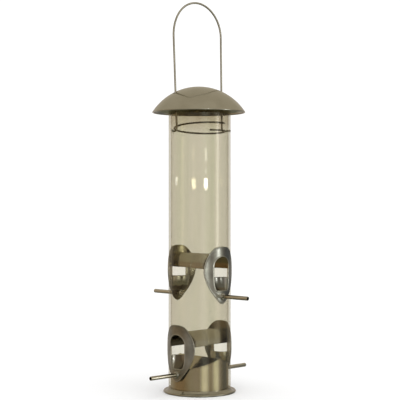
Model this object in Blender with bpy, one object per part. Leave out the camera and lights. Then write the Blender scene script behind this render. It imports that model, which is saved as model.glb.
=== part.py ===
"""Hanging tube feeder for birds.

A clear seed tube stands in a metal base and is closed by a dome lid, which lifts along the two legs
of a wire bail. Each of two levels has a pair of feeding ports on opposite sides of the tube, joined
by a hooded channel, with a perch rod screwed through the tip of each port.

Metres, +Z up. The origin is the centre of the foot's underside. The upper ports face +X and -X, and
the lower ports face +Y and -Y.
"""

import math

import bmesh
import bpy
from mathutils import Matrix, Vector

GAP = 0.0003  # between two metal or plastic faces that rest on each other

# Clear tube
TUBE_OUTER = 0.031
TUBE_WALL = 0.002
TUBE_INNER = TUBE_OUTER - TUBE_WALL
TUBE_BOTTOM = 0.0048
TUBE_TOP = 0.2927

# Dome lid: a thin spherical cap with a rolled rim
LID_RIM_RADIUS = 0.0465
LID_RIM_HEIGHT = 0.2792
LID_APEX = 0.3046
LID_SHEET = 0.0011
LID_BEAD = 0.0009
LID_HOLE_RADIUS = 0.0025

# Wire bail, drawn in its own upright plane and then leaned a little in that plane
BAIL_AZIMUTH = math.radians(77)
BAIL_LEAN = math.radians(1.5)
BAIL_WIRE = 0.001
BAIL_LEG_FOOT = 0.0264  # how far a leg is from the tube's axis at its foot, and at the shoulder
BAIL_LEG_SHOULDER = 0.0276
BAIL_END_HEIGHT = 0.2600
BAIL_BEND = 0.003
BAIL_SHOULDER = 0.3545
BAIL_ARCH_TOP = 0.3880
BAIL_ARCH_SKEW = 0.0010
BAIL_TIP_NEAR = 0.0326
BAIL_TIP_FAR = 0.0372
BAIL_TIP_RISE = 0.0008
BAIL_HOLE_RADIUS = 0.0021
LID_GUIDE_HEIGHT = 0.2970  # where the legs pass through the lid, which sits centred between them

# Spring hoop between the bail's legs
HOOP_WIRE = 0.0009
HOOP_ALONG = 0.0242
HOOP_ACROSS = 0.0277
HOOP_HEIGHT = 0.2625
HOOP_TILT = 0.0020
HOOP_TILT_AZIMUTH = math.radians(-45)
HOOP_TURNS = 1.14
HOOP_DROP = 0.0085  # how far the hoop's last end lies below its first, over its turns
HOOP_START = math.radians(27)

# Feeding ports, measured down from the top of a port's flange and sideways as a chord
PORT_TOPS = {"upper": 0.1449, "lower": 0.0680}
FLANGE_INNER = TUBE_OUTER + GAP
FLANGE_OUTER = 0.0322
FLANGE_OUTLINE = (
    (0.0000, 0.0000),
    (0.0095, 0.0018),
    (0.0160, 0.0105),
    (0.0185, 0.0210),
    (0.0176, 0.0300),
    (0.0134, 0.0408),
    (0.0067, 0.0497),
    (0.0030, 0.0534),
    (0.0000, 0.0543),
)
CHANNEL_HALF_WIDTH = 0.0110
CHANNEL_TOP = 0.0078
CHANNEL_SPRING = 0.0185
HOOD_SHEET = 0.0012
HOOD_EDGE = 0.0205
SOCKET_HOOD_EDGE = 0.0213
SPIGOT_SHEET = 0.0010
SPIGOT_LENGTH = 0.0050
SPIGOT_ROOT = 0.0030
TRAY_RIM = 0.0295
TRAY_FLOOR = 0.0434
TRAY_SHEET = 0.0012
TRAY_MOUTH_HALF_WIDTH = 0.01085
TRAY_FLOOR_HALF_WIDTH = 0.0080
TRAY_MOUTH_DEPTH = 0.0095
TRAY_FLOOR_DEPTH = 0.0042
TRAY_TAPER_POWER = 2.6
PERCH_DROP = 0.0480
BOSS_RADIUS = 0.0030
BOSS_FACE = 0.0336

# Perches and their nuts
PERCH_RADIUS = 0.0020
PERCH_TIP = 0.0661
PERCH_TIP_BORE = 0.0014
PERCH_TIP_BORE_DEPTH = 0.0030
STUD_RADIUS = 0.0014
STUD_HOLE_RADIUS = STUD_RADIUS + GAP
NUT_CIRCUMRADIUS = 0.0032
NUT_THICKNESS = 0.0022

# Base
CUP_OUTER = TUBE_INNER - GAP
CUP_WALL = 0.0010
CUP_BOTTOM = 0.0010
CUP_RIDGE = 0.0345
ROOF_SLOPE = 0.35
DEFLECTOR_SHEET = 0.0008
FOOT_RADIUS = 0.0362
FOOT_INNER = CUP_OUTER + GAP
FOOT_BEAD_RADIUS = 0.0012
FOOT_SHOULDER_HEIGHT = 0.0045

SIDES = 72


def metal(name, colour, roughness):
    return principled(name, colour, roughness, metallic=1.0)


def principled(name, colour, roughness, metallic=0.0, alpha=1.0):
    material = bpy.data.materials.new(name)
    material.use_nodes = True
    shader = material.node_tree.nodes["Principled BSDF"]
    shader.inputs["Base Color"].default_value = (*colour, 1.0)
    shader.inputs["Roughness"].default_value = roughness
    shader.inputs["Metallic"].default_value = metallic
    shader.inputs["Alpha"].default_value = alpha
    return material


def place(name, mesh, material, matrix=None):
    """Puts a mesh in the scene as one named piece, shaded smooth between its sharp edges."""
    mesh.name = name
    mesh.shade_smooth()
    mesh.set_sharp_from_angle(angle=math.radians(35))
    mesh.materials.clear()
    mesh.materials.append(material)
    piece = bpy.data.objects.new(name, mesh)
    piece.matrix_world = matrix or Matrix()
    bpy.context.scene.collection.objects.link(piece)
    return piece


def shape(bm):
    """A bmesh as an object that only helps to cut or join another."""
    bmesh.ops.recalc_face_normals(bm, faces=bm.faces)
    mesh = bpy.data.meshes.new("helper")
    bm.to_mesh(mesh)
    bm.free()
    helper = bpy.data.objects.new("helper", mesh)
    helper.hide_render = True
    helper.display_type = "WIRE"
    bpy.context.scene.collection.objects.link(helper)
    return helper


def combine(base, *steps):
    """Applies (operation, helper) Booleans to a helper in turn, and removes the helpers used."""
    for operation, other in steps:
        modifier = base.modifiers.new(operation.lower(), "BOOLEAN")
        modifier.operation = operation
        modifier.object = other
    graph = bpy.context.evaluated_depsgraph_get()
    mesh = bpy.data.meshes.new_from_object(base.evaluated_get(graph))
    base.modifiers.clear()
    base.data = mesh
    for _, other in steps:
        bpy.data.objects.remove(other)
    return base


def taken(helper):
    """A helper's mesh, once the helper itself is no longer needed."""
    mesh = helper.data
    bpy.data.objects.remove(helper)
    return mesh


def turned(profile, sides=SIDES):
    """A profile of (radius, height) points spun round Z. It is closed, or starts and ends on Z."""
    bm = bmesh.new()
    points = [bm.verts.new((radius, 0, height)) for radius, height in profile]
    edges = [bm.edges.new(pair) for pair in zip(points, points[1:])]
    if profile[0][0] > 0:
        edges.append(bm.edges.new((points[-1], points[0])))
    bmesh.ops.spin(
        bm,
        geom=points + edges,
        cent=(0, 0, 0),
        axis=(0, 0, 1),
        angle=math.tau,
        steps=sides,
        use_merge=True,
    )
    bmesh.ops.remove_doubles(bm, verts=bm.verts, dist=1e-6)
    return shape(bm)


def lofted(rings):
    """A closed body through rings of equally many points, capped at both ends."""
    bm = bmesh.new()
    loops = [[bm.verts.new(point) for point in ring] for ring in rings]
    count = len(loops[0])
    for lower, upper in zip(loops, loops[1:]):
        for i in range(count):
            j = (i + 1) % count
            bm.faces.new((lower[i], lower[j], upper[j], upper[i]))
    bm.faces.new(loops[0])
    bm.faces.new(loops[-1])
    return shape(bm)


def drawn(outline, low, high):
    """An outline of (y, z) points drawn out along X."""
    return lofted([[(x, y, z) for y, z in outline] for x in (low, high)])


def rod(radius, low, high, height=0.0, sides=24):
    """A cylinder along X."""
    angles = [math.tau * i / sides for i in range(sides)]
    outline = [(radius * math.cos(a), height + radius * math.sin(a)) for a in angles]
    return drawn(outline, low, high)


def ring_wall(inner, outer, low, high, sides=SIDES):
    return turned([(inner, low), (outer, low), (outer, high), (inner, high)], sides)


def disc(radius, low, high, sides=SIDES):
    """A cylinder along Z."""
    angles = [math.tau * i / sides for i in range(sides)]
    circle = [(radius * math.cos(a), radius * math.sin(a)) for a in angles]
    return lofted([[(x, y, z) for x, y in circle] for z in (low, high)])


def smooth_through(points, per_span):
    """A Catmull-Rom curve through points, which leaves its ends at right angles to the centre line."""
    first = (-points[1][0], points[1][1])
    last = (-points[-2][0], points[-2][1])
    padded = [Vector(p) for p in (first, *points, last)]
    curve = []
    for a, b, c, d in zip(padded, padded[1:], padded[2:], padded[3:]):
        for i in range(per_span):
            t = i / per_span
            curve.append(
                0.5 * (2 * b + (c - a) * t + (2 * a - 5 * b + 4 * c - d) * t**2 + (3 * b - a - 3 * c + d) * t**3)
            )
    curve.append(padded[-2])
    return curve


def wire(name, points, radius, material, sides_level=2):
    """A round wire along points, with closed ends."""
    curve = bpy.data.curves.new(name, "CURVE")
    curve.dimensions = "3D"
    curve.bevel_depth = radius
    curve.bevel_resolution = sides_level
    curve.use_fill_caps = True
    spline = curve.splines.new("POLY")
    spline.points.add(len(points) - 1)
    for target, point in zip(spline.points, points):
        target.co = (*point, 1)
    curve.materials.append(material)
    piece = bpy.data.objects.new(name, curve)
    bpy.context.scene.collection.objects.link(piece)
    return piece


def turn_to(azimuth):
    return Matrix.Rotation(azimuth, 4, "Z")


# Feeding ports. A port is modelled facing +X, with its flange's top at height 0.


def arch(inset, edge, steps=16):
    """The channel's arch, open side down at depth edge, grown outward or inward by inset."""
    half_width = CHANNEL_HALF_WIDTH - inset
    rise = CHANNEL_SPRING - CHANNEL_TOP - inset
    angles = [math.pi * i / steps for i in range(steps + 1)]
    curve = [(half_width * math.cos(a), rise * math.sin(a) - CHANNEL_SPRING) for a in angles]
    return [(half_width, -edge), *curve, (-half_width, -edge)]


def tray_shell(rim, grown, front, levels=5, steps=12):
    """The scoop from the depth rim down to its floor: half an ellipse inward, straight in front."""
    rings = []
    for level in range(levels + 1):
        down = level / levels
        depth_below = rim + (TRAY_FLOOR + grown - rim) * down
        taper = max(0.0, depth_below - TRAY_RIM) / (TRAY_FLOOR - TRAY_RIM)
        taper = min(1.0, taper) ** TRAY_TAPER_POWER
        width = TRAY_MOUTH_HALF_WIDTH + (TRAY_FLOOR_HALF_WIDTH - TRAY_MOUTH_HALF_WIDTH) * taper + grown
        depth = TRAY_MOUTH_DEPTH + (TRAY_FLOOR_DEPTH - TRAY_MOUTH_DEPTH) * taper + grown
        angles = [math.pi * i / steps for i in range(steps + 1)]
        curve = [(TUBE_OUTER - depth * math.sin(a), width * math.cos(a), -depth_below) for a in angles]
        rings.append([(front, width, -depth_below), *curve, (front, -width, -depth_below)])
    return lofted(rings)


def port_template(spigot):
    half = smooth_through(FLANGE_OUTLINE, 3)
    outline = [(y, -z) for y, z in half] + [(-y, -z) for y, z in half[-2:0:-1]]
    port = drawn(outline, 0.020, 0.040)
    combine(port, ("INTERSECT", ring_wall(FLANGE_INNER, FLANGE_OUTER, -0.060, 0.005, 96)))

    edge = HOOD_EDGE if spigot else SOCKET_HOOD_EDGE
    inside = drawn(arch(-HOOD_SHEET, edge), GAP / 2, 0.036)
    joins = [("UNION", tray_shell(TRAY_RIM, TRAY_SHEET, 0.036))]
    if spigot:
        clear = drawn(arch(GAP, HOOD_EDGE - 0.0004), -SPIGOT_LENGTH, SPIGOT_ROOT / 2)
        root = drawn(arch(-HOOD_SHEET / 2, HOOD_EDGE - 0.0004), GAP, SPIGOT_ROOT)
        joins += [("UNION", clear), ("UNION", root)]
    trim = disc((FLANGE_INNER + FLANGE_OUTER) / 2, -0.060, 0.005, 96)
    combine(inside, *joins, ("INTERSECT", trim))

    channel_bottom = TRAY_RIM - 0.0004
    channel_from = SPIGOT_ROOT if spigot else -0.001
    steps = [
        ("UNION", inside),
        ("UNION", rod(BOSS_RADIUS, FLANGE_OUTER - 0.001, BOSS_FACE, -PERCH_DROP)),
        ("DIFFERENCE", drawn(arch(0.0, channel_bottom), channel_from, 0.040)),
        ("DIFFERENCE", tray_shell(TRAY_RIM - 0.001, 0.0, 0.040)),
        ("DIFFERENCE", rod(STUD_HOLE_RADIUS, 0.026, 0.040, -PERCH_DROP)),
    ]
    if spigot:
        bore = drawn(arch(GAP + SPIGOT_SHEET, channel_bottom), -0.010, 0.010)
        steps.append(("DIFFERENCE", bore))
    return taken(combine(port, *steps))


def port_clearance():
    """What the tube needs open for one port: its channel, its tray and its perch's stud."""
    opening = drawn(arch(-HOOD_SHEET - GAP, TRAY_RIM + 0.0005), 0.010, 0.040)
    tray = tray_shell(TRAY_RIM, TRAY_SHEET + GAP, 0.040)
    stud = rod(STUD_HOLE_RADIUS, 0.020, 0.040, -PERCH_DROP)
    return combine(opening, ("UNION", tray), ("UNION", stud))


def placed_helper(helper, azimuth, height=0.0):
    """A helper turned about Z to an azimuth and raised."""
    helper.data.transform(Matrix.Translation((0, 0, height)) @ turn_to(azimuth))
    return helper


PORTS = (
    ("upper_right", "upper", 0, False),
    ("upper_left", "upper", 180, True),
    ("lower_front", "lower", -90, False),
    ("lower_back", "lower", 90, True),
)


def make_ports(cast_metal):
    for place_name, level, degrees, spigot in PORTS:
        matrix = Matrix.Translation((0, 0, PORT_TOPS[level])) @ turn_to(math.radians(degrees))
        place(f"port_{place_name}", port_template(spigot), cast_metal, matrix)


# Perches and nuts, modelled along +X with their axis at height 0.


def perch_mesh(stud_end):
    perch = rod(PERCH_RADIUS, BOSS_FACE + GAP, PERCH_TIP, sides=20)
    return taken(
        combine(
            perch,
            ("UNION", rod(STUD_RADIUS, stud_end, BOSS_FACE + 0.002, sides=16)),
            ("DIFFERENCE", rod(PERCH_TIP_BORE, PERCH_TIP - PERCH_TIP_BORE_DEPTH, 0.070, sides=16)),
        )
    )


def nut_mesh(face):
    nut = rod(NUT_CIRCUMRADIUS, face - NUT_THICKNESS, face, sides=6)
    return taken(combine(nut, ("DIFFERENCE", rod(STUD_HOLE_RADIUS, 0.020, 0.032, sides=16))))


def make_perches(rod_metal, nut_metal):
    for place_name, level, degrees, _ in PORTS:
        wall_inside = TUBE_INNER if level == "upper" else CUP_OUTER - CUP_WALL
        nut_face = math.sqrt(wall_inside**2 - NUT_CIRCUMRADIUS**2) - GAP
        height = PORT_TOPS[level] - PERCH_DROP
        matrix = Matrix.Translation((0, 0, height)) @ turn_to(math.radians(degrees))
        stud_end = nut_face - NUT_THICKNESS - 0.001
        place(f"perch_{place_name}", perch_mesh(stud_end), rod_metal, matrix)
        place(f"perch_nut_{place_name}", nut_mesh(nut_face), nut_metal, matrix)


# Tube and base


def port_cuts(levels):
    return [
        ("DIFFERENCE", placed_helper(port_clearance(), math.radians(degrees), PORT_TOPS[level]))
        for _, level, degrees, _ in PORTS
        if level in levels
    ]


def make_tube(clear_plastic):
    tube = ring_wall(TUBE_INNER, TUBE_OUTER, TUBE_BOTTOM, TUBE_TOP)
    cuts = port_cuts(("upper", "lower"))
    for side in (-1, 1):
        height = BAIL_END_HEIGHT + side * TUBE_OUTER * math.sin(BAIL_LEAN)
        hole = rod(BAIL_HOLE_RADIUS, 0.025 * side, 0.040 * side, height, sides=20)
        cuts.append(("DIFFERENCE", placed_helper(hole, BAIL_AZIMUTH)))
    place("feeder_tube", taken(combine(tube, *cuts)), clear_plastic)


def roof_prism(ridge, thickness):
    """An inverted V along X, as deep as thickness."""
    reach = 0.040
    drop = reach * ROOF_SLOPE
    outline = [
        (-reach, ridge - drop),
        (0, ridge),
        (reach, ridge - drop),
        (reach, ridge - drop - thickness),
        (0, ridge - thickness),
        (-reach, ridge - drop - thickness),
    ]
    return drawn(outline, -0.050, 0.050)


def make_base(cup_metal, foot_metal):
    cup = ring_wall(CUP_OUTER - CUP_WALL, CUP_OUTER, CUP_BOTTOM, 0.050)
    above = roof_prism(0.080, 0.080 - CUP_RIDGE)
    combine(cup, ("DIFFERENCE", above), *port_cuts(("lower",)))
    place("base_cup", taken(cup), cup_metal)

    deflector = roof_prism(CUP_RIDGE + GAP + DEFLECTOR_SHEET, DEFLECTOR_SHEET)
    round_blank = disc(CUP_OUTER, 0.010, 0.060)
    combine(deflector, ("INTERSECT", round_blank), *port_cuts(("lower",)))
    place("seed_deflector", taken(deflector), cup_metal)

    bead_centre = FOOT_RADIUS - FOOT_BEAD_RADIUS
    bead_angles = [math.radians(a) for a in range(-90, 136, 45)]
    bead = [
        (bead_centre + FOOT_BEAD_RADIUS * math.cos(a), FOOT_BEAD_RADIUS * (1 + math.sin(a)))
        for a in bead_angles
    ]
    profile = [
        (CUP_OUTER - CUP_WALL, 0.0),
        *bead,
        (TUBE_OUTER + 0.0018, 0.55 * FOOT_SHOULDER_HEIGHT),
        (TUBE_OUTER + 0.0005, FOOT_SHOULDER_HEIGHT),
        (FOOT_INNER, FOOT_SHOULDER_HEIGHT),
        (FOOT_INNER, CUP_BOTTOM - GAP),
        (CUP_OUTER - CUP_WALL, CUP_BOTTOM - GAP),
    ]
    place("foot_flange", taken(turned(profile)), foot_metal)


# Lid and bail


def bail_point(along, height):
    """A point of the bail's plane, leaned about the height of its ends."""
    up = height - BAIL_END_HEIGHT
    leaned = along * math.cos(BAIL_LEAN) - up * math.sin(BAIL_LEAN)
    risen = BAIL_END_HEIGHT + along * math.sin(BAIL_LEAN) + up * math.cos(BAIL_LEAN)
    return Vector((leaned * math.cos(BAIL_AZIMUTH), leaned * math.sin(BAIL_AZIMUTH), risen))


def leg_offset(height):
    """How far a leg is from the middle of the bail, which is a little wider at its shoulders."""
    foot = BAIL_END_HEIGHT + BAIL_BEND
    share = (height - foot) / (BAIL_SHOULDER - foot)
    return BAIL_LEG_FOOT + (BAIL_LEG_SHOULDER - BAIL_LEG_FOOT) * share


def bail_end(side, tip):
    """From the tip in through the tube's wall, and round the bend to the foot of a leg."""
    points = [(side * tip, BAIL_END_HEIGHT + BAIL_TIP_RISE)]
    bend_start = BAIL_LEG_FOOT + BAIL_BEND
    points.append((side * (bend_start + 0.0016), BAIL_END_HEIGHT + 0.0002))
    for step in range(7):
        angle = 0.5 * math.pi * step / 6
        along = BAIL_LEG_FOOT + BAIL_BEND * (1 - math.sin(angle))
        points.append((side * along, BAIL_END_HEIGHT + BAIL_BEND * (1 - math.cos(angle))))
    return points


def bail_points():
    """The wire from the near tip over the arch to the far tip, in the bail's plane."""
    rise = BAIL_ARCH_TOP - BAIL_SHOULDER
    arch_steps = 28
    near = bail_end(-1, BAIL_TIP_NEAR)
    far = bail_end(1, BAIL_TIP_FAR)
    over = []
    for step in range(arch_steps + 1):
        angle = math.pi * step / arch_steps
        lift = math.sin(angle)
        along = -BAIL_LEG_SHOULDER * math.cos(angle) - BAIL_ARCH_SKEW * lift**2
        over.append((along, BAIL_SHOULDER + rise * lift))
    return [bail_point(*p) for p in near + over + far[::-1]]


def hoop_points():
    """A split spring hoop of a little over one turn, oval to pass inside the bail's legs."""
    count = round(44 * HOOP_TURNS)
    points = []
    for step in range(count + 1):
        share = step / count
        angle = HOOP_START - BAIL_AZIMUTH - math.tau * HOOP_TURNS * share
        flat = Vector((HOOP_ALONG * math.cos(angle), HOOP_ACROSS * math.sin(angle), 0))
        flat.rotate(turn_to(BAIL_AZIMUTH))
        bearing = math.atan2(flat.y, flat.x) - HOOP_TILT_AZIMUTH
        flat.z = HOOP_HEIGHT + HOOP_TILT * math.cos(bearing) + HOOP_DROP * (0.5 - share)
        points.append(flat)
    return points


def lid_profile():
    """The dome's section: outer arc from rim to crown, inner arc back, and a bead at the rim."""
    rise = LID_APEX - LID_RIM_HEIGHT
    radius = (LID_RIM_RADIUS**2 + rise**2) / (2 * rise)
    centre = LID_APEX - radius
    outer_angle = math.asin(LID_RIM_RADIUS / radius)
    inner_angle = math.asin((LID_RIM_RADIUS - LID_BEAD) / (radius - LID_SHEET))
    steps = 8

    def arc(r, start, end):
        angles = [start + (end - start) * i / steps for i in range(steps + 1)]
        return [(r * math.sin(a), centre + r * math.cos(a)) for a in angles]

    outer = arc(radius, 0, outer_angle)
    inner = arc(radius - LID_SHEET, inner_angle, 0)
    bead = [
        (LID_RIM_RADIUS, LID_RIM_HEIGHT - 0.0007),
        (LID_RIM_RADIUS - LID_BEAD, LID_RIM_HEIGHT - 0.0007),
    ]
    return outer + bead + inner


def make_lid(lid_metal):
    lid = turned(lid_profile())
    middle = bail_point(0, LID_GUIDE_HEIGHT)
    lid.data.transform(Matrix.Translation((middle.x, middle.y, 0)))
    steps = []
    for side in (-1, 1):
        centre = bail_point(side * leg_offset(LID_GUIDE_HEIGHT), LID_GUIDE_HEIGHT)
        hole = disc(LID_HOLE_RADIUS, LID_RIM_HEIGHT, LID_APEX, 20)
        hole.data.transform(Matrix.Translation((centre.x, centre.y, 0)))
        steps.append(("DIFFERENCE", hole))
    place("lid_dome", taken(combine(lid, *steps)), lid_metal)


def main():
    for obj in list(bpy.data.objects):
        bpy.data.objects.remove(obj)
    clear_plastic = principled("clear_plastic", (0.92, 0.90, 0.84), 0.05, alpha=0.3)
    polished = metal("polished_metal", (0.60, 0.58, 0.52), 0.15)
    cast_metal = metal("cast_metal", (0.50, 0.50, 0.46), 0.25)
    wire_metal = metal("wire_metal", (0.55, 0.53, 0.48), 0.2)
    make_tube(clear_plastic)
    make_lid(polished)
    wire("bail_handle", bail_points(), BAIL_WIRE, wire_metal)
    wire("spreader_ring", hoop_points(), HOOP_WIRE, wire_metal)
    make_ports(cast_metal)
    make_perches(wire_metal, cast_metal)
    make_base(polished, polished)


main()
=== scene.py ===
"""Looks of the hanging tube feeder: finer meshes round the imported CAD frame, materials, light and camera.

Every piece stands for the CAD node of the same name and rides on that node's body. Metres, +Z up.
"""

import math

import bmesh
import bpy
from mathutils import Matrix, Vector


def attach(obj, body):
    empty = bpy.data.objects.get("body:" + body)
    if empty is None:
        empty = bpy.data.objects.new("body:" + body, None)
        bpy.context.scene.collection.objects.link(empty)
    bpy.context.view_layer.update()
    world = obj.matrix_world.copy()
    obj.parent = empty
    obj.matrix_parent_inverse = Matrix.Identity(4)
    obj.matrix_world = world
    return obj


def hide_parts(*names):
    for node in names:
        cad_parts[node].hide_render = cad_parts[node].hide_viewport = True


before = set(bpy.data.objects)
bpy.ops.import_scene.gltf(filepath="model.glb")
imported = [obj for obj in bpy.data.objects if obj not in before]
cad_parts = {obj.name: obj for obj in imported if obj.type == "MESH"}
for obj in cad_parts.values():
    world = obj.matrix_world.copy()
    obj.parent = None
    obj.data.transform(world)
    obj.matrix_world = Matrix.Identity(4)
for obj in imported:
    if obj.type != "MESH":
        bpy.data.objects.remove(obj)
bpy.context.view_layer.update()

GAP = 0.0003
SIDES = 192
TUBE_OUTER = 0.031
TUBE_INNER = 0.029
TUBE_FOOT = 0.0048
TUBE_TOP = 0.2927
CUP_OUTER = TUBE_INNER - GAP
CUP_INNER = CUP_OUTER - 0.0010

# Each port's place, height of its flange's top, turn about Z, and whether its hood ends in a spigot
UPPER_TOP = 0.1449
LOWER_TOP = 0.0680
PORTS = (
    ("upper_right", UPPER_TOP, 0, False),
    ("upper_left", UPPER_TOP, 180, True),
    ("lower_front", LOWER_TOP, -90, False),
    ("lower_back", LOWER_TOP, 90, True),
)
FLANGE_INNER = TUBE_OUTER + GAP
FLANGE_OUTER = 0.0322
FLANGE_OUTLINE = (
    (0.0000, 0.0000),
    (0.0095, 0.0018),
    (0.0160, 0.0105),
    (0.0185, 0.0210),
    (0.0176, 0.0300),
    (0.0134, 0.0408),
    (0.0067, 0.0497),
    (0.0030, 0.0534),
    (0.0000, 0.0543),
)
CHANNEL_HALF_WIDTH = 0.0110
CHANNEL_TOP = 0.0078
CHANNEL_SPRING = 0.0185
HOOD_SHEET = 0.0012
HOOD_EDGE = 0.0205
SOCKET_HOOD_EDGE = 0.0213
SPIGOT_SHEET = 0.0010
SPIGOT_LENGTH = 0.0050
SPIGOT_ROOT = 0.0030
TRAY_RIM = 0.0295
TRAY_FLOOR = 0.0434
TRAY_SHEET = 0.0012
TRAY_MOUTH_HALF_WIDTH = 0.01085
TRAY_FLOOR_HALF_WIDTH = 0.0080
TRAY_MOUTH_DEPTH = 0.0095
TRAY_FLOOR_DEPTH = 0.0042
TRAY_TAPER_POWER = 2.6
PERCH_DROP = 0.0480
BOSS_RADIUS = 0.0030
BOSS_FACE = 0.0336
PERCH_TIP = 0.0661
STUD_HOLE_RADIUS = 0.0017
STUD_REACH = 0.0032  # how far a stud's end lies inside its nut's outer face
NUT_CORNER = 0.0032
NUT_THICKNESS = 0.0022
NUT_BORE = 0.00155

BAIL_AZIMUTH = math.radians(77)
BAIL_LEAN = math.radians(1.5)
BAIL_LEG_FOOT = 0.0264
BAIL_LEG_SHOULDER = 0.0276
BAIL_END_HEIGHT = 0.2600
BAIL_BEND = 0.003
BAIL_SHOULDER = 0.3545
BAIL_ARCH_TOP = 0.3880
BAIL_WIRE_RADIUS = 0.001
BAIL_HOLE_RADIUS = 0.0021
HOOP_WIRE_RADIUS = 0.0009

RIM_RADIUS = 0.0465
RIM_HEIGHT = 0.2792
APEX = 0.3046
LID_SHEET = 0.0009
LID_GUIDE_HEIGHT = 0.2970
LID_HOLE_RADIUS = 0.0025

CUP_RIDGE = 0.0345
ROOF_SLOPE = 0.35
DEFLECTOR_SHEET = 0.0008

CAMERA_AZIMUTH = math.radians(45.5)
CAMERA_DISTANCE = 1.15
CAMERA_HEIGHT = 0.1944
FRAME_WIDTH = 0.400  # what the picture takes in at the tube's axis


# Meshes


def stitched(rings, closed=False):
    """A bmesh through rings of equally many points; it is capped at its ends, or closed into a loop."""
    bm = bmesh.new()
    loops = []
    for ring in rings:
        if len(ring) == 1:
            loops.append([bm.verts.new(ring[0])])
        else:
            loops.append([bm.verts.new(point) for point in ring])
    pairs = list(zip(loops, loops[1:]))
    if closed:
        pairs.append((loops[-1], loops[0]))
    for lower, upper in pairs:
        count = max(len(lower), len(upper))
        for i in range(count):
            j = (i + 1) % count
            corners = (
                lower[i % len(lower)],
                lower[j % len(lower)],
                upper[j % len(upper)],
                upper[i % len(upper)],
            )
            bm.faces.new(dict.fromkeys(corners))
    if not closed:
        for loop in (loops[0], loops[-1]):
            if len(loop) > 2:
                bm.faces.new(loop)
    bmesh.ops.recalc_face_normals(bm, faces=bm.faces)
    return bm


def helper(bm):
    mesh = bpy.data.meshes.new("helper")
    bm.to_mesh(mesh)
    bm.free()
    made = bpy.data.objects.new("helper", mesh)
    bpy.context.scene.collection.objects.link(made)
    return made


def turned(profile, sides=SIDES):
    """A profile of (radius, height) points spun round Z: a closed loop, or one that starts and ends on Z."""
    rings = []
    for radius, height in profile:
        if radius < 1e-9:
            rings.append([(0, 0, height)])
            continue
        angles = [math.tau * i / sides for i in range(sides)]
        rings.append([(radius * math.cos(a), radius * math.sin(a), height) for a in angles])
    return helper(stitched(rings, closed=len(rings[0]) > 1))


def drawn(outline, low, high):
    """An outline of (y, z) points drawn out along X."""
    return helper(stitched([[(x, y, z) for y, z in outline] for x in (low, high)]))


def rod(radius, low, high, height=0.0, sides=48):
    angles = [math.tau * i / sides for i in range(sides)]
    return drawn([(radius * math.cos(a), height + radius * math.sin(a)) for a in angles], low, high)


def ring_wall(inner, outer, low, high, sides=SIDES):
    return turned([(inner, low), (outer, low), (outer, high), (inner, high)], sides)


def evaluated(base):
    graph = bpy.context.evaluated_depsgraph_get()
    return bpy.data.meshes.new_from_object(base.evaluated_get(graph))


def combine(base, *steps):
    """Applies (operation, helper) Booleans in turn and removes the helpers used."""
    for operation, other in steps:
        modifier = base.modifiers.new(operation.lower(), "BOOLEAN")
        modifier.operation = operation
        modifier.object = other
    mesh = evaluated(base)
    base.modifiers.clear()
    base.data = mesh
    for _, other in steps:
        bpy.data.objects.remove(other)
    return base


def taken(made):
    mesh = made.data
    bpy.data.objects.remove(made)
    return mesh


def moved(made, matrix):
    made.data.transform(matrix)
    return made


def turn(degrees):
    return Matrix.Rotation(math.radians(degrees), 4, "Z")


def swept(points, radius, sides=16, closed=False):
    """A round bar along points. Open ends are rounded off."""
    points = [Vector(p) for p in points]
    count = len(points)
    rings = []
    normal = None
    for i, point in enumerate(points):
        before = points[i - 1] if closed or i > 0 else point
        after = points[(i + 1) % count] if closed or i < count - 1 else point
        along = (after - before).normalized()
        if normal is None:
            normal = along.orthogonal().normalized()
        normal = (normal - along * normal.dot(along)).normalized()
        side = along.cross(normal)
        rings.append((point, along, normal, side))

    def ring(centre, across, up, size):
        angles = [math.tau * k / sides for k in range(sides)]
        return [centre + (across * math.cos(a) + up * math.sin(a)) * size for a in angles]

    made = []
    if not closed:
        point, along, normal, side = rings[0]
        made.append([point - along * radius])
        for a in (60, 30):
            bend = math.radians(a)
            made.append(ring(point - along * radius * math.sin(bend), normal, side, radius * math.cos(bend)))
    made += [ring(point, normal, side, radius) for point, _, normal, side in rings]
    if not closed:
        point, along, normal, side = rings[-1]
        for a in (30, 60):
            bend = math.radians(a)
            made.append(ring(point + along * radius * math.sin(bend), normal, side, radius * math.cos(bend)))
        made.append([point + along * radius])
    return helper(stitched(made, closed))


def smooth_through(points, per_span):
    """A Catmull-Rom curve through points, which leaves its ends at right angles to the centre line."""
    first = (-points[1][0], points[1][1])
    last = (-points[-2][0], points[-2][1])
    padded = [Vector(p) for p in (first, *points, last)]
    curve = []
    for a, b, c, d in zip(padded, padded[1:], padded[2:], padded[3:]):
        for i in range(per_span):
            t = i / per_span
            second = 2 * a - 5 * b + 4 * c - d
            third = 3 * b - a - 3 * c + d
            curve.append(0.5 * (2 * b + (c - a) * t + second * t**2 + third * t**3))
    curve.append(padded[-2])
    return curve


def show(node, mesh, material, body="feeder", matrix=None, sharp=35):
    """Shows a mesh in place of the CAD node it stands for."""
    piece_name = node + ".fine"
    mesh.name = piece_name
    mesh.materials.clear()
    mesh.materials.append(material)
    mesh.shade_smooth()
    mesh.set_sharp_from_angle(angle=math.radians(sharp))
    piece = bpy.data.objects.new(piece_name, mesh)
    if matrix:
        mesh.transform(matrix)
    bpy.context.scene.collection.objects.link(piece)
    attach(piece, body)
    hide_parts(node)
    return piece


# Materials


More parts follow.
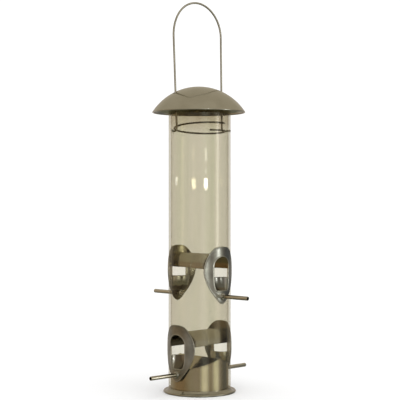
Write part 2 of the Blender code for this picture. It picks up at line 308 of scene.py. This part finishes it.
class Nodes:
    """A node tree with short ways to add and join nodes."""

    def __init__(self, name):
        self.material = bpy.data.materials.new(name)
        self.material.use_nodes = True
        self.tree = self.material.node_tree
        self.shader = self.tree.nodes["Principled BSDF"]

    def add(self, kind, settings=(), inputs=(), **properties):
        node = self.tree.nodes.new(kind)
        for key, value in properties.items():
            setattr(node, key, value)
        for key, value in settings:
            node.inputs[key].default_value = value
        for key, source in inputs:
            self.tree.links.new(source, node.inputs[key])
        return node

    def join(self, source, target):
        self.tree.links.new(source, self.shader.inputs[target])

    def object_coordinates(self, scale):
        place = self.add("ShaderNodeTexCoord")
        return self.add(
            "ShaderNodeMapping",
            settings=[("Scale", scale)],
            inputs=[("Vector", place.outputs["Object"])],
        ).outputs["Vector"]

    def noise(self, vector, scale, detail=3.0, roughness=0.5):
        return self.add(
            "ShaderNodeTexNoise",
            settings=[("Scale", scale), ("Detail", detail), ("Roughness", roughness)],
            inputs=[("Vector", vector)],
        ).outputs["Fac"]

    def ramp(self, source, low, high, start=0.3, end=0.7):
        return self.add(
            "ShaderNodeMapRange",
            settings=[("From Min", start), ("From Max", end), ("To Min", low), ("To Max", high)],
            inputs=[("Value", source)],
        ).outputs["Result"]

    def bump(self, height, distance, normal=None):
        inputs = [("Height", height)]
        if normal:
            inputs.append(("Normal", normal))
        settings = [("Strength", 1.0), ("Distance", distance)]
        return self.add("ShaderNodeBump", settings=settings, inputs=inputs).outputs["Normal"]

    def worked_out(self, kind, operation, terms):
        """A Math or Vector Math node. Each term is an output, or a plain number or vector."""
        node = self.add(kind, operation=operation)
        for socket, term in zip(node.inputs, terms):
            if isinstance(term, (int, float, tuple)):
                socket.default_value = term
            else:
                self.tree.links.new(term, socket)
        return node.outputs

    def number(self, operation, *terms):
        return self.worked_out("ShaderNodeMath", operation, terms)["Value"]

    def vector(self, operation, *terms):
        return self.worked_out("ShaderNodeVectorMath", operation, terms)["Vector"]

    def size(self, operation, *terms):
        """A Vector Math node that gives a number, such as a length or a dot product."""
        return self.worked_out("ShaderNodeVectorMath", operation, terms)["Value"]

    def parts(self, vector):
        return self.add("ShaderNodeSeparateXYZ", inputs=[("Vector", vector)]).outputs


def blended(nodes, factor, first, second):
    """Mixes two colours, each of them an output or a plain (red, green, blue)."""
    node = nodes.add("ShaderNodeMix", data_type="RGBA")
    nodes.tree.links.new(factor, node.inputs["Factor"])
    for socket, colour in (("A", first), ("B", second)):
        if isinstance(colour, tuple):
            node.inputs[socket].default_value = (*colour, 1)
        else:
            nodes.tree.links.new(colour, node.inputs[socket])
    return node.outputs["Result"]


LINES_ADD = 0.04  # the most that a metal's grain adds to its roughness


def metal(name, light, dark, roughness, grain, grain_depth, wave=0.0, tones_and_shade=None):
    """Worn metal: two tones, patches of differing roughness, a directional grain and a slow waviness."""
    nodes = Nodes(name)
    nodes.shader.inputs["Metallic"].default_value = 1.0
    plain = nodes.object_coordinates((1, 1, 1))
    patches = nodes.ramp(nodes.noise(plain, 90.0, 4.0), 0.0, 1.0)
    colour = blended(nodes, patches, light, dark)
    # Where given, further tones and painted shade that follow the part's shape
    if tones_and_shade:
        colour = tones_and_shade(nodes, colour, patches)
    nodes.join(colour, "Base Color")
    lines = nodes.noise(nodes.object_coordinates(grain), 1.0, 2.0, 0.6)
    smudges = nodes.noise(plain, 160.0, 5.0, 0.6)
    spread = nodes.number("ADD", nodes.ramp(smudges, *roughness), nodes.ramp(lines, 0.0, LINES_ADD))
    nodes.join(spread, "Roughness")
    normal = nodes.bump(lines, grain_depth)
    if wave:
        normal = nodes.bump(nodes.noise(plain, 120.0, 1.0), wave, normal=normal)
    nodes.join(normal, "Normal")
    return nodes.material


# Where the castings' tones and painted shade change: distance from the tube's axis, and height between the
# two levels
OUTSIDE_FROM = (0.0200, 0.0225)
SCOOP_FROM = (0.0300, 0.0312)
EDGE_FROM = (FLANGE_OUTER + 0.00005, FLANGE_OUTER + 0.0003)
LEVELS_PART = (0.1050, 0.1051)


def cast_tones_and_shade(nodes, colour, patches):
    """Darkens the faces that look outward, paints shade into the scoops and under the hoods' roofs, and sets
    off the raised edges.
    """
    place = nodes.add("ShaderNodeTexCoord").outputs
    flat = nodes.vector("MULTIPLY", place["Object"], (1, 1, 0))
    radius = nodes.size("LENGTH", flat)
    level = nodes.ramp(nodes.parts(place["Object"])["Z"], 0.0, 1.0, *LEVELS_PART)

    # Painted shade inside the scoops, browner in the lower ports
    scoop_shade = blended(nodes, level, (0.150, 0.130, 0.095), (0.160, 0.160, 0.140))
    # A darker tone in patches on the faces that look outward; inside the scoops the painted shade above
    # takes its place
    outward_tone_and_scoop_shade = blended(nodes, patches, (0.360, 0.362, 0.320), (0.200, 0.200, 0.175))
    outward_tone_and_scoop_shade = blended(nodes, nodes.ramp(radius, 0.0, 1.0, *SCOOP_FROM), scoop_shade, outward_tone_and_scoop_shade)
    # Both go on faces that look away from the tube's axis
    outward = nodes.size("DOT_PRODUCT", nodes.vector("NORMALIZE", flat), place["Normal"])
    looks_out = nodes.ramp(outward, 0.0, 1.0, 0.05, 0.45)
    exposed = nodes.number("MULTIPLY", looks_out, nodes.ramp(radius, 0.0, 1.0, *OUTSIDE_FROM))
    colour = blended(nodes, exposed, colour, outward_tone_and_scoop_shade)

    # Painted shade under the hoods' roofs: near black in the lower ports, brown in the upper ones
    hood_shade = blended(nodes, level, (0.11, 0.10, 0.075), (0.38, 0.30, 0.18))
    low_spring, high_spring = ((0, 0, top - CHANNEL_SPRING) for top in (LOWER_TOP, UPPER_TOP))
    spring = blended(nodes, level, low_spring, high_spring)
    section = blended(nodes, level, (1, 0, 1), (0, 1, 1))
    spoke = nodes.vector("MULTIPLY", nodes.vector("SUBTRACT", place["Object"], spring), section)
    spoke = nodes.vector("NORMALIZE", spoke)
    looks_in = nodes.ramp(nodes.size("DOT_PRODUCT", spoke, place["Normal"]), 1.0, 0.0, -0.7, -0.3)
    raised = nodes.ramp(nodes.parts(spoke)["Z"], 0.0, 1.0, -0.4, -0.2)
    colour = blended(nodes, nodes.number("MULTIPLY", looks_in, raised), colour, hood_shade)

    return blended(nodes, nodes.ramp(radius, 0.0, 1.0, *EDGE_FROM), colour, (0.50, 0.49, 0.43))


# Where a perch's hollow begins: distance from the perch's own axis, and from the tube's
HOLLOW_EDGE = (0.00142, 0.00150)
HOLLOW_FROM = (0.0600, 0.0610)


def perch_hollow_shade(nodes, colour, _patches):
    """Paints shade, near black, into the hollow in each perch's tip."""
    place = nodes.add("ShaderNodeTexCoord").outputs["Object"]
    radius = nodes.size("LENGTH", nodes.vector("MULTIPLY", place, (1, 1, 0)))
    sides = nodes.parts(nodes.vector("ABSOLUTE", place))
    across = nodes.number("MINIMUM", sides["X"], sides["Y"])
    risen = nodes.number("SUBTRACT", sides["Z"], LOWER_TOP - PERCH_DROP)
    above = nodes.number("PINGPONG", risen, (UPPER_TOP - LOWER_TOP) / 2)
    offset = nodes.add("ShaderNodeCombineXYZ", inputs=[("X", across), ("Y", above)]).outputs["Vector"]
    inside = nodes.ramp(nodes.size("LENGTH", offset), 1.0, 0.0, *HOLLOW_EDGE)
    hollow = nodes.number("MULTIPLY", inside, nodes.ramp(radius, 0.0, 1.0, *HOLLOW_FROM))
    return blended(nodes, hollow, colour, (0.06, 0.055, 0.045))


LID_SHADE_FROM = (0.258, 0.280)  # heights between which the tube takes more and more painted shade from the lid


def clear_plastic():
    """Tinted clear plastic: each face passes light by its tint and mirrors some, most at a slant."""
    nodes = Nodes("clear_plastic")
    nodes.shader.inputs["Base Color"].default_value = (0.80, 0.76, 0.66, 1)
    nodes.shader.inputs["IOR"].default_value = 1.49
    nodes.shader.inputs["Metallic"].default_value = 1.0
    plain = nodes.object_coordinates((1, 1, 1))
    streaks = nodes.noise(nodes.object_coordinates((300, 300, 3)), 1.0, 3.0, 0.6)
    haze = nodes.noise(plain, 60.0, 4.0)
    nodes.join(nodes.ramp(haze, 0.015, 0.035), "Roughness")
    normal = nodes.bump(streaks, 0.00002)
    nodes.join(normal, "Normal")
    facing = nodes.add("ShaderNodeLayerWeight", settings=[("Blend", 0.5)], inputs=[("Normal", normal)])
    slant = nodes.number("POWER", facing.outputs["Facing"], 5.0)
    gloss = nodes.ramp(slant, 0.04, 0.75, 0.0, 1.0)

    bands = nodes.noise(nodes.object_coordinates((90, 90, 2)), 1.0, 3.0, 0.6)
    tint = blended(nodes, nodes.ramp(bands, 0.0, 1.0), (0.872, 0.848, 0.800), (0.836, 0.828, 0.756))
    # Painted shade under the lid: toward the top the tint darkens and browns, in patches
    under_lid = nodes.ramp(nodes.parts(plain)["Z"], 0.0, 1.0, *LID_SHADE_FROM)
    lid_shade = nodes.number("MULTIPLY", under_lid, nodes.ramp(haze, 0.4, 1.0))
    tint = blended(nodes, lid_shade, tint, (0.720, 0.675, 0.585))
    through = nodes.add("ShaderNodeBsdfTransparent", inputs=[("Color", tint)])
    shaders = [("Fac", gloss), (1, through.outputs[0]), (2, nodes.shader.outputs[0])]
    mixed = nodes.add("ShaderNodeMixShader", inputs=shaders)
    nodes.tree.links.new(mixed.outputs[0], nodes.tree.nodes["Material Output"].inputs["Surface"])
    return nodes.material


# Ports, modelled facing +X with the flange's top at height 0


def arch(inset, edge, steps=40):
    half_width = CHANNEL_HALF_WIDTH - inset
    rise = CHANNEL_SPRING - CHANNEL_TOP - inset
    angles = [math.pi * i / steps for i in range(steps + 1)]
    curve = [(half_width * math.cos(a), rise * math.sin(a) - CHANNEL_SPRING) for a in angles]
    return [(half_width, -edge), *curve, (-half_width, -edge)]


def tray_taper(depth_below):
    """How far the scoop has drawn in, from 0 at its rim to 1 at its floor."""
    share = max(0.0, depth_below - TRAY_RIM) / (TRAY_FLOOR - TRAY_RIM)
    return min(1.0, share) ** TRAY_TAPER_POWER


def tray_half_width(depth_below):
    return TRAY_MOUTH_HALF_WIDTH + (TRAY_FLOOR_HALF_WIDTH - TRAY_MOUTH_HALF_WIDTH) * tray_taper(depth_below)


def tray_shell(rim, grown, front, levels=16, steps=32):
    """The scoop from the depth rim down to its floor: half an ellipse inward, straight in front."""
    rings = []
    for level in range(levels + 1):
        depth_below = rim + (TRAY_FLOOR + grown - rim) * level / levels
        width = tray_half_width(depth_below) + grown
        depth = TRAY_MOUTH_DEPTH + (TRAY_FLOOR_DEPTH - TRAY_MOUTH_DEPTH) * tray_taper(depth_below) + grown
        angles = [math.pi * i / steps for i in range(steps + 1)]
        curve = [(TUBE_OUTER - depth * math.sin(a), width * math.cos(a), -depth_below) for a in angles]
        rings.append([(front, width, -depth_below), *curve, (front, -width, -depth_below)])
    return helper(stitched(rings))


def on_cylinder(radius, sideways, height):
    """The point on a cylinder round Z, on its +X side, this far sideways and this high."""
    return Vector((math.sqrt(radius**2 - sideways**2), sideways, height))


def outset(outline, distance):
    """A closed outline of (y, z) points moved outward, or inward by a negative distance."""
    count = len(outline)
    result = []
    for i, point in enumerate(outline):
        along = Vector(outline[(i + 1) % count]) - Vector(outline[i - 1])
        along.normalize()
        result.append(Vector(point) + Vector((-along.y, along.x)) * distance)
    return result


def opening_outline():
    """The port's whole opening, anticlockwise seen from inside the tube: arch, sides and tray."""
    right = [(CHANNEL_HALF_WIDTH, -z) for z in (0.0210, 0.0235, 0.0260, 0.0285)]
    depths = [TRAY_RIM + 0.001 + 0.0011 * i for i in range(12)]
    right += [(tray_half_width(d), -d) for d in depths]
    right += [(0.0066, -0.0433), (0.0044, -0.0434), (0.0022, -0.0434)]
    top = arch(0.0, CHANNEL_SPRING)[1:-1]
    left = [(-y, z) for y, z in right]
    return top[::-1] + right + [(0.0, -0.0434)] + left[::-1]


def port_mesh(spigot):
    """A port: flange, hood and scoop, with a bead round the flange and a lip round the opening."""
    half = smooth_through(FLANGE_OUTLINE, 12)
    outline = [(y, -z) for y, z in half] + [(-y, -z) for y, z in half[-2:0:-1]]
    port = drawn(outline, 0.020, 0.040)
    combine(port, ("INTERSECT", ring_wall(FLANGE_INNER, FLANGE_OUTER, -0.060, 0.005, 256)))

    edge = HOOD_EDGE if spigot else SOCKET_HOOD_EDGE
    inside = drawn(arch(-HOOD_SHEET, edge), GAP / 2, 0.036)
    joins = [("UNION", tray_shell(TRAY_RIM, TRAY_SHEET, 0.036))]
    if spigot:
        joins.append(("UNION", drawn(arch(GAP, HOOD_EDGE - 0.0004), -SPIGOT_LENGTH, SPIGOT_ROOT / 2)))
        joins.append(("UNION", drawn(arch(-HOOD_SHEET / 2, HOOD_EDGE - 0.0004), GAP, SPIGOT_ROOT)))
    trim = ring_wall(0.0001, (FLANGE_INNER + FLANGE_OUTER) / 2, -0.060, 0.005, 256)
    combine(inside, *joins, ("INTERSECT", trim))

    bead_line = outset(outline, 0.0004)
    bead = swept([on_cylinder(0.0319, y, z) for y, z in bead_line], 0.0006, 12, closed=True)
    lip_line = outset(opening_outline(), -0.0008)
    lip = swept([on_cylinder(0.0317, y, z) for y, z in lip_line], 0.0008, 12, closed=True)
    channel_bottom = TRAY_RIM - 0.0004
    channel_from = SPIGOT_ROOT if spigot else -0.001
    steps = [
        ("UNION", inside),
        ("UNION", rod(BOSS_RADIUS, FLANGE_OUTER - 0.001, BOSS_FACE, -PERCH_DROP)),
        ("DIFFERENCE", drawn(arch(0.0, channel_bottom), channel_from, 0.040)),
        ("DIFFERENCE", tray_shell(TRAY_RIM - 0.001, 0.0, 0.040)),
        ("DIFFERENCE", rod(STUD_HOLE_RADIUS, 0.026, 0.040, -PERCH_DROP)),
    ]
    if spigot:
        steps.append(("DIFFERENCE", drawn(arch(GAP + SPIGOT_SHEET, channel_bottom), -0.010, 0.010)))
    combine(port, *steps)

    joined = bmesh.new()
    for made in (port, bead, lip):
        joined.from_mesh(taken(made))
    port = helper(joined)
    remesh = port.modifiers.new("remesh", "REMESH")
    remesh.mode = "VOXEL"
    remesh.voxel_size = 0.00032
    soften = port.modifiers.new("soften", "SMOOTH")
    soften.factor = 0.5
    soften.iterations = 5
    port.data = evaluated(port)
    port.modifiers.clear()
    return taken(port)


def port_clearance():
    """What a port and its stud take out of the walls they pass through."""
    opening = drawn(arch(-HOOD_SHEET - GAP, TRAY_RIM + 0.0005), 0.010, 0.040)
    tray = tray_shell(TRAY_RIM, TRAY_SHEET + GAP, 0.040)
    stud = rod(STUD_HOLE_RADIUS, 0.020, 0.040, -PERCH_DROP)
    return combine(opening, ("UNION", tray), ("UNION", stud))


def port_cuts(lowest_only):
    """The cuts for all ports, or for the lower two."""
    return [
        ("DIFFERENCE", moved(port_clearance(), Matrix.Translation((0, 0, top)) @ turn(degrees)))
        for _, top, degrees, _ in PORTS
        if top == LOWER_TOP or not lowest_only
    ]


# Perches and nuts, modelled along +X with their axis at height 0

ALONG_X = Matrix.Rotation(math.radians(90), 4, "Y")


def perch_mesh(stud_end):
    """A rod with a hollow, chamfered tip and a threaded stud."""
    shoulder = BOSS_FACE + GAP
    pitch = 0.0005
    thread = []
    at = stud_end
    while at < shoulder - pitch:
        thread += [(0.00120, at), (0.0014, at + pitch / 2)]
        at += pitch
    profile = [
        (0.0, stud_end),
        *thread,
        (0.0014, shoulder),
        (0.0018, shoulder),
        (0.0020, shoulder + 0.0002),
        (0.0020, PERCH_TIP - 0.00035),
        (0.0019, PERCH_TIP - 0.0001),
        (0.0017, PERCH_TIP),
        (0.0015, PERCH_TIP - 0.00005),
        (0.0014, PERCH_TIP - 0.0003),
        (0.0014, PERCH_TIP - 0.0030),
        (0.0, PERCH_TIP - 0.0034),
    ]
    return taken(moved(turned(profile, 48), ALONG_X))


def nut_mesh(face):
    """A hexagon nut, its corners chamfered on both faces."""
    back = face - NUT_THICKNESS
    nut = rod(NUT_CORNER, back, face, sides=6)
    cone = [
        (0.0, back - 0.0006),
        (0.00265, back - 0.0001),
        (0.0034, back + 0.0004),
        (0.0034, face - 0.0004),
        (0.00265, face + 0.0001),
        (0.0, face + 0.0006),
    ]
    chamfer = moved(turned(cone, 48), ALONG_X)
    return taken(combine(nut, ("INTERSECT", chamfer), ("DIFFERENCE", rod(NUT_BORE, 0.020, 0.032))))


# Base


def roof_prism(ridge, thickness, fold=0.0008):
    """A bent sheet along X, with its fold a little rounded and as deep as thickness."""
    reach = 0.040
    drop = reach * ROOF_SLOPE
    bend = [(y * fold, ridge - ROOF_SLOPE * fold * (0.5 + 0.5 * (y * y))) for y in (-1, -0.5, 0, 0.5, 1)]
    top = [(-reach, ridge - drop), *bend, (reach, ridge - drop)]
    return drawn(top + [(y, z - thickness) for y, z in top[::-1]], -0.050, 0.050)


def foot_profile():
    """The foot's section, with a bead round its edge and a step that the tube stands on."""
    bead = 0.0012
    centre = 0.0362 - bead
    angles = [math.radians(a) for a in range(-90, 151, 15)]
    edge = [(centre + bead * math.cos(a), bead * (1 + math.sin(a))) for a in angles]
    return [
        (CUP_INNER, 0.0003),
        (CUP_INNER + 0.0003, 0.0),
        *edge,
        (0.0334, 0.0023),
        (0.0326, 0.0028),
        (0.0320, 0.0036),
        (0.0317, 0.0042),
        (0.0314, 0.0045),
        (0.0293, 0.0045),
        (0.0290, 0.0043),
        (0.0290, 0.0007),
        (CUP_INNER, 0.0007),
    ]


# Bail, hoop and lid


def bail_point(along, height):
    """A point in the bail's own leaning plane, given along it and upward."""
    up = height - BAIL_END_HEIGHT
    leaned = along * math.cos(BAIL_LEAN) - up * math.sin(BAIL_LEAN)
    risen = BAIL_END_HEIGHT + along * math.sin(BAIL_LEAN) + up * math.cos(BAIL_LEAN)
    return Vector((leaned * math.cos(BAIL_AZIMUTH), leaned * math.sin(BAIL_AZIMUTH), risen))


def leg_offset(height):
    """How far a leg stands from the bail's middle at a height."""
    foot = BAIL_END_HEIGHT + BAIL_BEND
    share = (height - foot) / (BAIL_SHOULDER - foot)
    return BAIL_LEG_FOOT + (BAIL_LEG_SHOULDER - BAIL_LEG_FOOT) * share


def bail_end(side, tip):
    """One end of the wire: out through the tube's wall, round a bend and up the leg."""
    points = [(side * (tip - 0.001), BAIL_END_HEIGHT + 0.0008)]
    points.append((side * (BAIL_LEG_FOOT + BAIL_BEND + 0.0016), BAIL_END_HEIGHT + 0.0002))
    for step in range(13):
        angle = 0.5 * math.pi * step / 12
        along = BAIL_LEG_FOOT + BAIL_BEND * (1 - math.sin(angle))
        points.append((side * along, BAIL_END_HEIGHT + BAIL_BEND * (1 - math.cos(angle))))
    for step in range(1, 16):
        height = BAIL_END_HEIGHT + BAIL_BEND + (BAIL_SHOULDER - BAIL_END_HEIGHT - BAIL_BEND) * step / 16
        points.append((side * leg_offset(height), height))
    return points


def bail_points():
    rise = BAIL_ARCH_TOP - BAIL_SHOULDER
    steps = 64
    over = []
    for step in range(steps + 1):
        angle = math.pi * step / steps
        lift = math.sin(angle)
        over.append((-BAIL_LEG_SHOULDER * math.cos(angle) - 0.0010 * lift**2, BAIL_SHOULDER + rise * lift))
    ends = bail_end(-1, 0.0326) + over + bail_end(1, 0.0372)[::-1]
    return [bail_point(*p) for p in ends]


def hoop_points():
    """A little over one turn of spring wire, oval across the bail and sloping down."""
    count = 180
    turns = 1.14
    points = []
    for step in range(count + 1):
        share = step / count
        angle = math.radians(27) - BAIL_AZIMUTH - math.tau * turns * share
        flat = Vector((0.0242 * math.cos(angle), 0.0277 * math.sin(angle), 0))
        flat.rotate(Matrix.Rotation(BAIL_AZIMUTH, 4, "Z"))
        bearing = math.atan2(flat.y, flat.x) + math.radians(45)
        flat.z = 0.2625 + 0.0020 * math.cos(bearing) + 0.0085 * (0.5 - share)
        points.append(flat)
    return points


def lid_profile():
    """The dome's section, with its edge rolled inward."""
    rise = APEX - RIM_HEIGHT
    radius = (RIM_RADIUS**2 + rise**2) / (2 * rise)
    centre = APEX - radius
    steps = 48
    outer_angle = math.asin(RIM_RADIUS / radius)
    inner_angle = math.asin((RIM_RADIUS - 0.0014) / (radius - LID_SHEET))

    def arc(size, start, end):
        angles = [start + (end - start) * i / steps for i in range(steps + 1)]
        return [(size * math.sin(a), centre + size * math.cos(a)) for a in angles]

    bead = 0.0008
    bead_centre = (RIM_RADIUS - bead, RIM_HEIGHT - 0.0001)
    angles = [math.radians(a) for a in range(15, -196, -15)]
    rolled = [(bead_centre[0] + bead * math.cos(a), bead_centre[1] + bead * math.sin(a)) for a in angles]
    profile = arc(radius, 0, outer_angle)[:-1] + rolled + arc(radius - LID_SHEET, inner_angle, 0)[1:]
    profile[0] = (0.0, APEX)
    profile[-1] = (0.0, APEX - LID_SHEET)
    return profile


# Assembly


def feeder_metals():
    """The metals, each by its light and dark tone, roughness, grain along X, Y and Z, and grain depth."""
    return (
        metal("dome_steel", (0.52, 0.50, 0.43), (0.47, 0.45, 0.38), (0.07, 0.12), (60, 60, 900), 0.000002),
        metal("base_steel", (0.76, 0.72, 0.62), (0.68, 0.64, 0.53), (0.06, 0.11), (900, 900, 12), 0.000003),
        metal("foot_steel", (0.47, 0.45, 0.38), (0.37, 0.35, 0.29), (0.12, 0.17), (60, 60, 900), 0.000002),
        metal(
            "cast_metal",
            (0.74, 0.74, 0.69),
            (0.64, 0.64, 0.59),
            (0.15, 0.23),
            (400, 400, 400),
            0.000004,
            wave=0.000008,
            tones_and_shade=cast_tones_and_shade,
        ),
        metal("wire_steel", (0.47, 0.45, 0.38), (0.38, 0.36, 0.30), (0.30, 0.36), (300, 300, 20), 0.000001),
        metal("spring_wire", (0.30, 0.26, 0.19), (0.20, 0.17, 0.12), (0.18, 0.28), (900, 900, 60), 0.000002),
        metal(
            "perch_metal",
            (0.66, 0.62, 0.53),
            (0.56, 0.52, 0.43),
            (0.06, 0.12),
            (200, 200, 900),
            0.000004,
            tones_and_shade=perch_hollow_shade,
        ),
        metal("nut_metal", (0.50, 0.48, 0.42), (0.42, 0.40, 0.35), (0.25, 0.35), (500, 500, 500), 0.000006),
    )


def build_feeder():
    tube_material = clear_plastic()
    dome_metal, base_metal, foot_metal, cast, wire, spring, perch_metal, nut_metal = feeder_metals()

    tube = ring_wall(TUBE_INNER, TUBE_OUTER, TUBE_FOOT, TUBE_TOP)
    cuts = port_cuts(lowest_only=False)
    for side in (-1, 1):
        height = BAIL_END_HEIGHT + side * TUBE_OUTER * math.sin(BAIL_LEAN)
        hole = rod(BAIL_HOLE_RADIUS, 0.025 * side, 0.040 * side, height)
        cuts.append(("DIFFERENCE", moved(hole, Matrix.Rotation(BAIL_AZIMUTH, 4, "Z"))))
    show("feeder_tube", taken(combine(tube, *cuts)), tube_material)

    lid = turned(lid_profile(), 256)
    middle = bail_point(0, LID_GUIDE_HEIGHT)
    moved(lid, Matrix.Translation((middle.x, middle.y, 0)))
    holes = []
    for side in (-1, 1):
        centre = bail_point(side * leg_offset(LID_GUIDE_HEIGHT), LID_GUIDE_HEIGHT)
        hole = moved(rod(LID_HOLE_RADIUS, RIM_HEIGHT, APEX), Matrix.Rotation(math.radians(-90), 4, "Y"))
        holes.append(("DIFFERENCE", moved(hole, Matrix.Translation((centre.x, centre.y, 0)))))
    show("lid_dome", taken(combine(lid, *holes)), dome_metal, "lid")

    show("bail_handle", taken(swept(bail_points(), BAIL_WIRE_RADIUS)), wire)
    show("spreader_ring", taken(swept(hoop_points(), HOOP_WIRE_RADIUS)), spring)

    socket = port_mesh(False)
    spigot = port_mesh(True)
    for place, top, degrees, has_spigot in PORTS:
        at_top = Matrix.Translation((0, 0, top)) @ turn(degrees)
        mesh = (spigot if has_spigot else socket).copy()
        show(f"port_{place}", mesh, cast, matrix=at_top, sharp=70)

        wall_inside = TUBE_INNER if top == UPPER_TOP else CUP_INNER
        nut_face = math.sqrt(wall_inside**2 - NUT_CORNER**2) - GAP
        at_perch = Matrix.Translation((0, 0, top - PERCH_DROP)) @ turn(degrees)
        show(f"perch_{place}", perch_mesh(nut_face - STUD_REACH), perch_metal, matrix=at_perch)
        show(f"perch_nut_{place}", nut_mesh(nut_face), nut_metal, matrix=at_perch)

    cup = ring_wall(CUP_INNER, CUP_OUTER, 0.0010, 0.050)
    combine(cup, ("DIFFERENCE", roof_prism(0.080, 0.080 - CUP_RIDGE)), *port_cuts(lowest_only=True))
    show("base_cup", taken(cup), base_metal)
    deflector = roof_prism(CUP_RIDGE + GAP + DEFLECTOR_SHEET, DEFLECTOR_SHEET)
    blank = ring_wall(0.0001, CUP_OUTER, 0.010, 0.060)
    combine(deflector, ("INTERSECT", blank), *port_cuts(lowest_only=True))
    show("seed_deflector", taken(deflector), base_metal)
    show("foot_flange", taken(turned(foot_profile(), 256)), foot_metal)


# Studio


def toward_camera(azimuth_offset, distance, height):
    """A point at a bearing from the tube's axis, measured to the right of the camera's own."""
    a = CAMERA_AZIMUTH + math.radians(azimuth_offset)
    return Vector((math.sin(a) * distance, -math.cos(a) * distance, height))


def add_camera():
    data = bpy.data.cameras.new("camera")
    camera = bpy.data.objects.new("camera", data)
    bpy.context.scene.collection.objects.link(camera)
    camera.location = toward_camera(0, CAMERA_DISTANCE, CAMERA_HEIGHT)
    camera.rotation_euler = (math.radians(90), 0, CAMERA_AZIMUTH)
    data.sensor_width = 36
    data.lens = 36 * CAMERA_DISTANCE / FRAME_WIDTH
    data.shift_x = 0.001
    data.shift_y = -0.0075
    data.clip_end = 50
    bpy.context.scene.camera = camera


FLOOR_RADIUS = 2.4  # small enough that its edge isn't seen through the tube


def add_floor():
    """A pale disc. Mirrors show the room's ground in its place."""
    bpy.ops.mesh.primitive_circle_add(vertices=128, radius=FLOOR_RADIUS, fill_type="NGON")
    floor = bpy.context.object
    floor.name = "floor"
    nodes = Nodes("floor")
    nodes.shader.inputs["Base Color"].default_value = (0.86, 0.86, 0.86, 1)
    nodes.shader.inputs["Roughness"].default_value = 0.9
    nodes.shader.inputs["Specular IOR Level"].default_value = 0.0
    floor.data.materials.append(nodes.material)
    floor.visible_glossy = False


def glossy_only(piece):
    """A stage piece that only mirrors show, so it lights and hides nothing."""
    piece.visible_camera = False
    piece.visible_diffuse = False
    piece.visible_transmission = False
    piece.visible_volume_scatter = False
    piece.visible_shadow = False


def glowing(nodes, colour=None, strength=1.0):
    glow = nodes.add("ShaderNodeEmission", settings=[("Strength", strength)])
    if colour:
        nodes.tree.links.new(colour, glow.inputs["Color"])
    nodes.tree.links.new(glow.outputs[0], nodes.tree.nodes["Material Output"].inputs["Surface"])
    return nodes.material


# The studio that the metals mirror: plain tones from the ground to the ceiling, and four soft-edged cards.
# A card has a bearing from the camera's own, positive to its right, then a half width and a soft edge, all
# three in degrees, and a tone
GROUND_TONE = (0.2, 0.2, 0.15)
WALL_TONE = (0.5, 0.45, 0.4)
CEILING_TONE = (0.5, 0.45, 0.35)
WHITE_CARD = (1.2, 1.2, 1.1)
BROWN_CARD = (0.4, 0.3, 0.2)
BLACK_CARD = (0.2, 0.2, 0.2)
CARDS = (
    (-85, 20, 30, BROWN_CARD),
    (20, 5, 15, WHITE_CARD),
    (70, 5, 15, WHITE_CARD),
    (120, 10, 30, BLACK_CARD),
)
ROOM_RADIUS = 6.0
ROOM_CENTRE_HEIGHT = 0.2
# Where tones change with height, as shares of the room's radius above its centre
GROUND_ENDS = (-0.45, -0.22)
CEILING_STARTS = (0.2, 0.4)


def add_room():
    middle = (0, 0, ROOM_CENTRE_HEIGHT)
    bpy.ops.mesh.primitive_uv_sphere_add(segments=96, ring_count=48, radius=1.0, location=middle)
    room = bpy.context.object
    room.name = "room"
    room.scale = (ROOM_RADIUS,) * 3
    room.rotation_euler = (0, 0, CAMERA_AZIMUTH - math.radians(90))
    nodes = Nodes("room")
    parts = nodes.parts(nodes.add("ShaderNodeTexCoord").outputs["Object"])
    bearing = nodes.number("ARCTAN2", parts["Y"], parts["X"])
    colour = WALL_TONE
    for card_bearing, half_width, soft_edge, tone in CARDS:
        aside = nodes.number("ABSOLUTE", nodes.number("SUBTRACT", bearing, math.radians(card_bearing)))
        edge = math.radians(half_width)
        share = nodes.ramp(aside, 1.0, 0.0, edge, edge + math.radians(soft_edge))
        colour = blended(nodes, share, colour, tone)
    colour = blended(nodes, nodes.ramp(parts["Z"], 0.0, 1.0, *CEILING_STARTS), colour, CEILING_TONE)
    colour = blended(nodes, nodes.ramp(parts["Z"], 1.0, 0.0, *GROUND_ENDS), colour, GROUND_TONE)
    room.data.materials.append(glowing(nodes, colour))
    glossy_only(room)


# The lamps that the plastic mirrors as glints: bearing from the camera's own, distance, low and high edge,
# width and strength
LAMPS = (
    (23, 5.0, 0.243, 0.293, 1.20, 30),
    (23.5, 5.0, 0.320, 0.340, 0.40, 6),
    (24, 5.0, 0.390, 0.455, 0.80, 5),
    (-97, 5.0, 0.260, 0.300, 0.40, 16),
    (71, 5.2, -0.300, 0.640, 1.00, 4),
)


def add_lamp(bearing, distance, low, high, width, strength):
    """A small upright lamp panel that faces the tube, for the bright glints on the plastic."""
    centre = toward_camera(bearing, distance, (low + high) / 2)
    bpy.ops.mesh.primitive_plane_add(size=1, location=centre)
    lamp = bpy.context.object
    lamp.name = f"lamp_{bearing}"
    lamp.scale = (width, high - low, 1)
    lamp.rotation_euler = (math.radians(90), 0, CAMERA_AZIMUTH + math.radians(bearing))
    lamp.data.materials.append(glowing(Nodes(lamp.name), strength=strength))
    glossy_only(lamp)


def add_lights():
    world = bpy.data.worlds.new("studio")
    world.use_nodes = True
    background = world.node_tree.nodes["Background"]
    background.inputs["Color"].default_value = (1, 1, 1, 1)
    background.inputs["Strength"].default_value = 1.1
    bpy.context.scene.world = world
    data = bpy.data.lights.new("sky_panel", "SUN")
    data.energy = 0.6
    data.angle = math.radians(50)
    lamp = bpy.data.objects.new("sky_panel", data)
    bpy.context.scene.collection.objects.link(lamp)
    lamp.rotation_euler = (math.radians(25), math.radians(15), CAMERA_AZIMUTH)


build_feeder()
add_camera()
add_floor()
add_room()
for lamp in LAMPS:
    add_lamp(*lamp)
add_lights()
bpy.context.scene.view_settings.view_transform = "Standard"
bpy.context.scene.cycles.use_denoising = True
